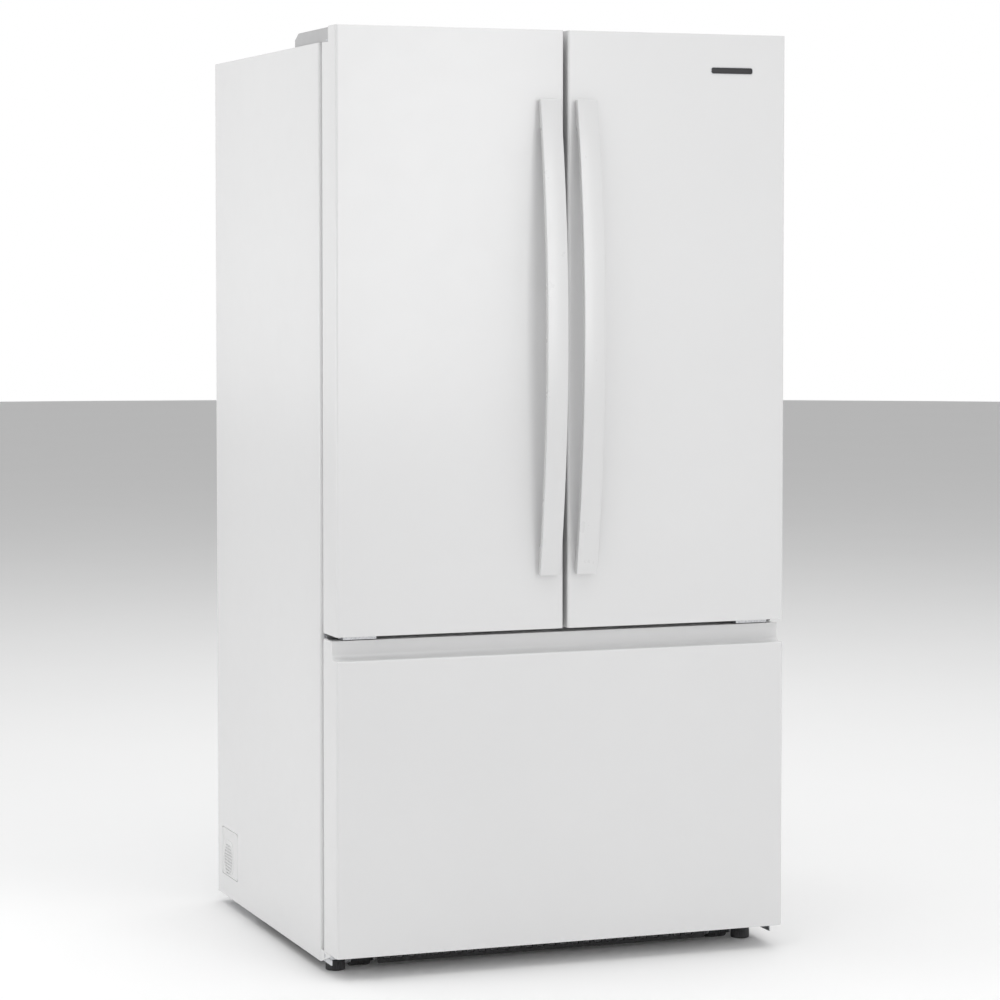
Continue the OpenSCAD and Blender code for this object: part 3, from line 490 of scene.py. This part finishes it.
def add_handle(name):
    """Bowed flat strap on two stand-offs that run from its back to the door."""
    low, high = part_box(f"{name}_handle")
    half = (high.z - low.z) / 2
    middle = (high.z + low.z) / 2
    radius = (half ** 2 + HANDLE_BOW ** 2) / (2 * HANDLE_BOW)
    centre_y = low.y + radius
    sweep = math.asin(half / radius)
    length = 2 * sweep * radius
    straight = length - 2 * HANDLE_EDGE
    inner = [(HANDLE_EDGE + straight * i / HANDLE_SPANS, 0) for i in range(1, HANDLE_SPANS)]
    rings = []
    for along, inset in round_ends(length, HANDLE_EDGE, inner):
        turn = along / radius - sweep
        outline = rounded(low.x + inset, high.x - inset, inset, HANDLE_THICK - inset, HANDLE_EDGE, 4)
        rings.append([(x, centre_y - (radius - d) * math.cos(turn), middle + (radius - d) * math.sin(turn))
                      for x, d in outline])
    shape = Shape()
    shape.loft(rings)

    x0, x1 = low.x + STANDOFF_INSET, high.x - STANDOFF_INSET
    back_radius = radius - HANDLE_THICK
    inner = [(STANDOFF_HEIGHT * i / STANDOFF_SPANS, 0) for i in range(1, STANDOFF_SPANS)]
    for z0 in (low.z + STANDOFF_END, high.z - STANDOFF_END - STANDOFF_HEIGHT):
        rings = []
        for rise, inset in round_ends(STANDOFF_HEIGHT, STANDOFF_EDGE, inner):
            z = z0 + rise
            back_y = centre_y - math.sqrt(back_radius ** 2 - (z - middle) ** 2)
            outline = rounded(x0 + inset, x1 - inset, back_y - STANDOFF_SINK, high.y, STANDOFF_CORNER, 3)
            rings.append([(x, y, z) for x, y in outline])
        shape.loft(rings)
    shape.piece(f"{name}_handle_strap", f"{name}_door", "handle_paint", [f"{name}_handle"])


def gasket_profile(width, depth):
    """Section of a magnetic door seal: dart, bellows and magnet pocket, as (inset, depth) points."""
    half = [(0.0, 0.0), (0.0, 2.2), (2.6, 3.2), (2.6, 4.8), (5.6, 7.4), (1.2, 10.8), (1.2, 12.6),
            (3.0, 14.2), (0.4, 15.4), (0.2, 19.2), (1.4, 20.2)]
    k = depth / half[-1][1]
    near = [(u * MM, v * k) for u, v in half]
    far = [(width - u, v) for u, v in reversed(near)]
    return near + far


GASKET_WIDTH = 23 * MM
GASKET_CORNER = 12 * MM
GASKET_LEAST_CORNER = 1.5 * MM


def add_gasket(node, body):
    """Closed frame of seal section round a door or the drawer."""
    low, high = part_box(node)
    rings = []
    for inset, depth in gasket_profile(GASKET_WIDTH, high.y - low.y):
        outline = rounded(low.x + inset, high.x - inset, low.z + inset, high.z - inset,
                          max(GASKET_CORNER - inset, GASKET_LEAST_CORNER), 5)
        rings.append([(x, low.y + depth, z) for x, z in outline])
    shape = Shape()
    shape.loft(rings, loop=True)
    shape.piece(f"{node}_bellows", body, "gasket_vinyl", [node], sharp=28)


TRAY_CORNER_STEPS = 5
TRAY_LEAST_CORNER = 1.2 * MM
TRAY_FILLET = 5 * MM
TRAY_FILLET_STEPS = 4


def ribbed(x0, x1, y0, y1, radius, ribs, depth):
    """Rounded rectangle whose straight sides carry shallow ribs; the point count doesn't change."""
    corners = rounded(x0, x1, y0, y1, radius, TRAY_CORNER_STEPS)
    count = TRAY_CORNER_STEPS + 1
    points = []
    for k in range(4):
        arc = corners[k * count:(k + 1) * count]
        points += arc
        start, end = Vector(arc[-1]), Vector(corners[((k + 1) * count) % len(corners)])
        along = end - start
        inward = Vector((-along.y, along.x)).normalized() * depth
        number = ribs[k % 2]
        for i in range(number):
            for share, sunk in ((0.15, 0), (0.25, 1), (0.75, 1), (0.85, 0)):
                points.append(tuple(start + along * ((i + share) / number) + inward * sunk))
    return points


def add_tray(shape, low, high, radius, wall, ribs, rib_depth, rim=1.6 * MM, draft=1.5 * MM):
    """Open-topped moulded tray: filleted floor, ribbed drafted walls, rolled rim."""
    x0, y0, z0 = low
    x1, y1, z1 = high

    def ring(inset, height, depth=0.0):
        corner = max(radius - inset, TRAY_LEAST_CORNER)
        return ribbed(x0 + inset, x1 - inset, y0 + inset, y1 - inset, corner, ribs, depth), height

    foot = rim + draft
    rim_inside, foot_inside = rim + wall, foot + wall
    bend = TRAY_FILLET - 1.5 * MM
    turns = [math.radians(90 * i / TRAY_FILLET_STEPS) for i in range(TRAY_FILLET_STEPS + 1)]

    # Outer fillet, from under the floor up to the wall
    layers = [ring(foot + TRAY_FILLET, z0)]
    for a in turns[1:]:
        layers.append(ring(foot + TRAY_FILLET * (1 - math.sin(a)), z0 + TRAY_FILLET * (1 - math.cos(a))))
    # Outer wall, rolled rim and inner wall
    layers += [
        ring(foot - 0.05 * MM, z0 + TRAY_FILLET + 3 * MM),
        ring(foot - 0.2 * MM, z0 + TRAY_FILLET + 5 * MM, rib_depth),
        ring(rim + 0.2 * MM, z1 - 14 * MM, rib_depth),
        ring(rim, z1 - 11 * MM),
        ring(rim, z1 - 6 * MM),
        ring(0.3 * MM, z1 - 5 * MM),
        ring(0, z1 - 4.4 * MM),
        ring(0, z1 - 0.9 * MM),
        ring(0.35 * MM, z1 - 0.2 * MM),
        ring(0.9 * MM, z1),
        ring(rim_inside - 0.9 * MM, z1),
        ring(rim_inside - 0.2 * MM, z1 - 0.3 * MM),
        ring(rim_inside, z1 - 1.2 * MM),
        ring(rim_inside, z1 - 11 * MM),
        ring(rim_inside + 0.2 * MM, z1 - 14 * MM, rib_depth),
        ring(foot_inside - 0.2 * MM, z0 + TRAY_FILLET + 5 * MM, rib_depth),
        ring(foot_inside, z0 + TRAY_FILLET + 3 * MM),
    ]
    # Inner fillet, down to the floor
    for a in turns[:-1]:
        layers.append(ring(foot_inside + bend * (1 - math.cos(a)), z0 + wall + bend * (1 - math.sin(a))))
    layers.append(ring(foot_inside + bend, z0 + wall))
    shape.stack(layers)


def add_front_panel(shape, x0, x1, y_front, thick, z0, z1):
    """Drawer front swept along X: rounded foot, finger scoop and a rolled pull at the top."""
    r = 2.5 * MM
    # Finger scoop, in millimetres: depth behind the front face, drop below the top
    scoop = [(0, 27), (1.2, 24), (5.5, 20.5), (6.8, 17), (6.8, 12), (5.0, 9), (1.0, 7.5), (0, 6)]
    profile = [(thick, z0), (r, z0), (0.3 * r, z0 + 0.3 * r), (0, z0 + r)]
    profile += [(depth * MM, z1 - drop * MM) for depth, drop in scoop]
    profile += [(0, z1 - r), (0.3 * r, z1 - 0.3 * r), (r, z1), (thick, z1)]
    profile = [(y_front + depth, z) for depth, z in profile]
    middle_y, middle_z = y_front + thick / 2, (z0 + z1) / 2
    edge = 1.8 * MM
    rings = []
    for x, inset in ((x0, edge), (x0 + 0.5 * edge, 0.35 * edge), (x0 + edge, 0),
                     (x1 - edge, 0), (x1 - 0.5 * edge, 0.35 * edge), (x1, edge)):
        shrink_y = 1 - inset / (thick / 2)
        shrink_z = 1 - inset / ((z1 - z0) / 2)
        rings.append([(x, middle_y + (y - middle_y) * shrink_y, middle_z + (z - middle_z) * shrink_z)
                      for y, z in profile])
    shape.loft(rings)


def add_door_bins(name):
    for number, (low, high) in enumerate(solid_boxes(f"{name}_door_bins"), 1):
        shape = Shape()
        add_tray(shape, low, high, radius=9 * MM, wall=2.6 * MM, ribs=(12, 0), rib_depth=0.5 * MM)
        shape.piece(f"{name}_door_bin_{number}", f"{name}_door", "clear_plastic", [f"{name}_door_bins"])


CRISPER_PANEL = 11 * MM
# How far the tub runs into its front panel, and how far its rim is below the panel's top
CRISPER_LAP = 3 * MM
CRISPER_STEP = 5 * MM


def add_crisper(node):
    """Clear drawer: a ribbed tub with a scooped front panel."""
    low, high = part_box(node)
    tub_low = Vector((low.x, low.y + CRISPER_PANEL - CRISPER_LAP, low.z))
    tub_high = high - Vector((0, 0, CRISPER_STEP))
    shape = Shape()
    add_tray(shape, tub_low, tub_high, radius=14 * MM, wall=2.4 * MM, ribs=(6, 8), rib_depth=0.8 * MM)
    add_front_panel(shape, low.x, high.x, low.y, CRISPER_PANEL, low.z, high.z)
    shape.piece(f"{node}_tub", node, "clear_plastic", [node])


def add_freezer_tub(node, body, ribs, rim):
    low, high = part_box(node)
    shape = Shape()
    add_tray(shape, low, high, radius=22 * MM, wall=3 * MM, ribs=ribs, rib_depth=2.0 * MM,
             rim=rim, draft=3 * MM)
    shape.piece(f"{node}_tub", body, "bin_plastic", [node])


FLUTES = 24
FLUTE_SHARE = 0.06
FLUTE_BAND = (3.5 * MM, 17 * MM)
STEM_FOOT = 20.5 * MM
STEM_PITCH = 1.75 * MM
STEM_CREST = 5.0 * MM
STEM_DEPTH = 0.55 * MM
STEM_SIDES = 20
STEM_STEPS = 8


def flutes(angle, height):
    """Share of the radius that the foot pad has left where its rim is fluted."""
    inside = 1 if FLUTE_BAND[0] < height < FLUTE_BAND[1] else 0
    return 1 - FLUTE_SHARE * inside * (0.5 + 0.5 * math.cos(FLUTES * angle)) ** 2


def add_foot(name):
    """Levelling foot: pad with a gripping rim, and a threaded zinc stem."""
    body = f"foot_{name}"
    low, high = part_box(body)
    radius = (high.x - low.x) / 2
    place = Matrix.Translation(((low.x + high.x) / 2, (low.y + high.y) / 2, 0))
    profile = [(0.4 * radius, 0), (radius - 1.6 * MM, 0), (radius - 0.5 * MM, 0.4 * MM), (radius, 1.4 * MM),
               (radius, 3 * MM), (radius, 4 * MM), (radius, 10 * MM), (radius, 16.5 * MM),
               (radius, 17.5 * MM), (radius - 0.6 * MM, 19.4 * MM), (radius - 2.6 * MM, 20.8 * MM),
               (9 * MM, 21.4 * MM), (5.2 * MM, 21.4 * MM)]
    pad = Shape()
    pad.lathe(profile, FLUTES * 6, place, flutes)
    pad.piece(f"foot_{name}_pad", body, "black_plastic", [body], sharp=50)

    height = high.z - STEM_FOOT
    rings = []
    for k in range(int(height / STEM_PITCH * STEM_STEPS)):
        z = STEM_FOOT + k * STEM_PITCH / STEM_STEPS
        ring = []
        for i in range(STEM_SIDES):
            a = math.tau * i / STEM_SIDES
            wave = abs(((z / STEM_PITCH - i / STEM_SIDES) % 1) * 2 - 1)
            r = STEM_CREST - STEM_DEPTH * wave
            ring.append((r * math.cos(a), r * math.sin(a), z))
        rings.append(ring)
    stem = Shape()
    stem.loft(rings, place=place)
    stem.piece(f"foot_{name}_stem", body, "zinc_steel", sharp=60)


WHEEL_SIDES = 64
AXLE_SIDES = 32
# How far the axle stands out of the wheel at each side, in millimetres
AXLE_END = 5


def wheel_section(half):
    """Tyre, web and hub of a roller as a closed (radius, along) loop, in millimetres."""
    side = [(4.05, half), (7.4, half), (8.0, half - 0.6), (8.0, half - 5), (12.0, half - 5),
            (12.0, half - 0.8), (12.8, half), (15.2, half - 0.1), (15.9, half - 0.8), (16.0, half - 2),
            (16.0, 7), (15.3, 6.2), (15.3, 5.4), (16.0, 4.6)]
    return side + [(r, -u) for r, u in reversed(side)]


def add_roller(node):
    """Grooved wheel and its axle, across X, in place of a CAD roller."""
    low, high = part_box(node)
    place = Matrix.Translation((low + high) / 2) @ Matrix.Rotation(math.pi / 2, 4, "Y")
    reach = (high.x - low.x) / 2
    section = wheel_section(reach / MM - AXLE_END)
    wheel = Shape()
    wheel.lathe([(r * MM, u * MM) for r, u in section], WHEEL_SIDES, place, loop=True)
    wheel.piece(f"{node}_wheel", node, "black_plastic", [node])
    axle = Shape()
    axle.lathe([(3.2 * MM, -reach), (3.9 * MM, -reach + 0.7 * MM), (3.95 * MM, -reach + 1.5 * MM),
                (3.95 * MM, reach - 1.5 * MM), (3.9 * MM, reach - 0.7 * MM), (3.2 * MM, reach)],
               AXLE_SIDES, place)
    axle.piece(f"{node}_axle", node, "zinc_steel")


BADGE_PLACE = (341 * MM, 1703.5 * MM)
BADGE_SIZE = (88 * MM, 13 * MM)
BADGE_CORNER = 5 * MM
# Sections of the rim and the plate, in millimetres: height off the door, growth of the outline
BADGE_RIM = ((0, 0), (0.9, 0), (1.3, -0.2), (1.4, -0.5), (1.3, -0.8), (0.9, -1.0), (0, -1.0))
BADGE_PLATE = ((0, -1.05), (0.8, -1.05), (1.0, -1.5), (1.15, -3.5))


def add_badge():
    """Blank badge on the right door: a dark plate in a bright rim."""
    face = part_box("right_door_skin")[0].y
    half_w, half_h = BADGE_SIZE[0] / 2, BADGE_SIZE[1] / 2

    def outline(grow):
        return rounded(BADGE_PLACE[0] - half_w - grow, BADGE_PLACE[0] + half_w + grow,
                       BADGE_PLACE[1] - half_h - grow, BADGE_PLACE[1] + half_h + grow, BADGE_CORNER + grow, 8)

    def rings(section):
        return [[(x, face - out * MM, z) for x, z in outline(grow * MM)] for out, grow in section]

    rim = Shape()
    rim.loft(rings(BADGE_RIM), loop=True)
    rim.piece("badge_rim", "right_door", "zinc_steel")
    plate = Shape()
    plate.loft(rings(BADGE_PLATE))
    plate.piece("badge_plate", "right_door", "black_plastic")


VENT_SLOTS = 10
VENT_PITCH = 6.4 * MM
# Centre of the slots: in from the vent's rear edge, and up from its lower edge
VENT_CENTRE = (43.5 * MM, 34 * MM)
VENT_REACH = 29.5 * MM
VENT_RADIUS = 35 * MM
BLADE_THICK = 0.9 * MM
BLADE_DEPTHS = (0.7 * MM, 7.5 * MM)
BLADE_HEIGHTS = (-1.3 * MM, 2.6 * MM)


def add_vent_blades():
    """Sloping blades behind the slots of the side vent."""
    low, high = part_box("side_vent")
    cy, cz = high.y - VENT_CENTRE[0], low.z + VENT_CENTRE[1]
    outer_x, inner_x = low.x + BLADE_DEPTHS[0], low.x + BLADE_DEPTHS[1]
    shape = Shape()
    for i in range(VENT_SLOTS):
        dz = (i - (VENT_SLOTS - 1) / 2) * VENT_PITCH
        half = VENT_REACH * math.sqrt(1 - (dz / VENT_RADIUS) ** 2) - 0.3 * MM
        z_out, z_in = cz + dz + BLADE_HEIGHTS[0], cz + dz + BLADE_HEIGHTS[1]
        section = [(outer_x, z_out), (inner_x, z_in), (inner_x, z_in + BLADE_THICK),
                   (outer_x, z_out + BLADE_THICK)]
        shape.loft([[(x, y, z) for x, z in section] for y in (cy - half, cy + half)])
    shape.piece("side_vent_blades", "cabinet", "cap_plastic")


# Centre of a bush from its door's lower outer front corner: inward and to the rear
BUSH_PLACE = (12 * MM, 60 * MM)
# Heights of a bush's top and base below the door
BUSH_DROPS = (0.3 * MM, 8.3 * MM)


def add_hinge_bushes():
    """Black nylon thrust bushes between the centre hinges and the doors."""
    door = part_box("left_door_skin")[0]
    top, base = door.z - BUSH_DROPS[0], door.z - BUSH_DROPS[1]
    profile = [(9.1 * MM, base), (11.0 * MM, base), (11.3 * MM, base + 0.4 * MM),
               (11.3 * MM, base + 1.8 * MM), (10.6 * MM, base + 2.1 * MM), (10.6 * MM, base + 2.5 * MM),
               (11.3 * MM, base + 2.8 * MM), (11.3 * MM, top - 0.4 * MM), (11.0 * MM, top), (9.1 * MM, top)]
    shape = Shape()
    for side in (-1, 1):
        place = Matrix.Translation((side * (door.x + BUSH_PLACE[0]), door.y + BUSH_PLACE[1], 0))
        shape.lathe(profile, 48, place, loop=True)
    shape.piece("hinge_bushes", "cabinet", "black_plastic")


PAN_SHEET = 0.5 * MM
PAN_LOW = 35.45 * MM
PAN_HIGH = 43.8 * MM
# Half-width of the raised middle, and the gap between the pan's edge and the case's outer face
PAN_STEP = 402.4 * MM
PAN_SIDE_GAP = 2.5 * MM
# Where the pan starts behind the case's front edge and ends in front of the machine cover
PAN_FRONT = 4.6 * MM
PAN_BACK = 237 * MM
PAN_BEADS = 7
BEAD_DEPTH = 1.5 * MM
# Section of a bead, in millimetres: distance from its middle, and whether it is sunk
BEAD_SECTION = ((-9, 0), (-5, 1), (5, 1), (9, 0))
SKIRT_FRONT = 3.2 * MM
SKIRT_TOP = 59.5 * MM
SKIRT_BEND = 0.45 * MM


def add_base_pan():
    """Pan with pressed beads under the insulation, and the skirt that closes its front edge, both black as
    painted shade for the space under the cabinet.
    """
    case_low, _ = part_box("outer_case")
    front = case_low.y + PAN_FRONT
    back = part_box("machine_cover")[0].y - PAN_BACK
    reach = -case_low.x - PAN_SIDE_GAP

    def section(y, sunk):
        top = PAN_HIGH - sunk * BEAD_DEPTH
        half = [(-reach, PAN_LOW), (PAN_SHEET - PAN_STEP, PAN_LOW), (PAN_SHEET - PAN_STEP, top - PAN_SHEET)]
        roof = [(-PAN_STEP, top), (-PAN_STEP, PAN_LOW + PAN_SHEET), (-reach, PAN_LOW + PAN_SHEET)]
        under = half + [(-x, z) for x, z in reversed(half)]
        over = [(-x, z) for x, z in reversed(roof)] + roof
        return [(x, y, z) for x, z in under + over]

    rings = [section(front, 0)]
    for i in range(PAN_BEADS):
        middle = front + (back - front) * (i + 0.5) / PAN_BEADS
        rings += [section(middle + dy * MM, sunk) for dy, sunk in BEAD_SECTION]
    rings.append(section(back, 0))
    shape = Shape()
    shape.loft(rings)

    skirt_y, bend = case_low.y + SKIRT_FRONT, SKIRT_BEND
    profile = [(skirt_y + bend, PAN_LOW), (skirt_y + 2 * bend, PAN_LOW),
               (skirt_y + 2 * bend, SKIRT_TOP - bend), (skirt_y + 1.5 * bend, SKIRT_TOP),
               (skirt_y + 0.5 * bend, SKIRT_TOP), (skirt_y, SKIRT_TOP - bend), (skirt_y, PAN_LOW + bend)]
    shape.loft([[(x, y, z) for y, z in profile] for x in (-reach, -PAN_STEP, PAN_STEP, reach)])
    # Black enamel on the pan and skirt is painted shade: it darkens the space under the cabinet, where the
    # real sheet is white or grey
    shape.piece("base_pan_painted_shade", "cabinet", "black_enamel")


# Width of the small bevel on each CAD node that shows as it is, in millimetres
SOFTENED = {
    "outer_case": 0.45, "rear_panel": 0.3, "machine_cover": 0.3, "side_vent": 0.35, "evaporator_cover": 0.6,
    "air_duct": 0.8, "shelf_frames": 0.9, "shelf_glass": 0.7, "ceiling_console": 1.0, "top_hinges": 0.4,
    "hinge_covers": 0.9, "center_hinges": 0.4, "slide_rails": 0.3, "drawer_slides": 0.4, "toe_grille": 0.8,
    "leg_covers": 0.4, "left_door_skin": 0.4, "right_door_skin": 0.4, "drawer_skin": 0.4,
    "left_door_liner": 0.5, "right_door_liner": 0.5, "drawer_liner": 0.5, "left_door_caps": 0.5,
    "right_door_caps": 0.5, "mullion": 0.8, "compressor": 1.0, "drip_pan": 0.6, "base_frame": 0.3,
    "shelf_tracks": 0.3, "screws": 0.2,
}

coat_nodes()
add_camera()
add_studio()
for cad_node, edge in SOFTENED.items():
    soften(cad_node, edge * MM)
for side_name in SIDES:
    add_handle(side_name)
    add_gasket(f"{side_name}_door_gasket", f"{side_name}_door")
    add_door_bins(side_name)
    add_crisper(f"{side_name}_crisper")
    add_foot(side_name)
    add_roller(f"front_roller_{side_name}")
add_gasket("drawer_gasket", "freezer_drawer")
add_crisper("pantry_drawer")
add_freezer_tub("freezer_basket", "freezer_drawer", ribs=(14, 8), rim=14 * MM)
add_freezer_tub("upper_freezer_bin", "upper_freezer_bin", ribs=(14, 10), rim=3 * MM)
add_badge()
add_vent_blades()
add_hinge_bushes()
add_base_pan()
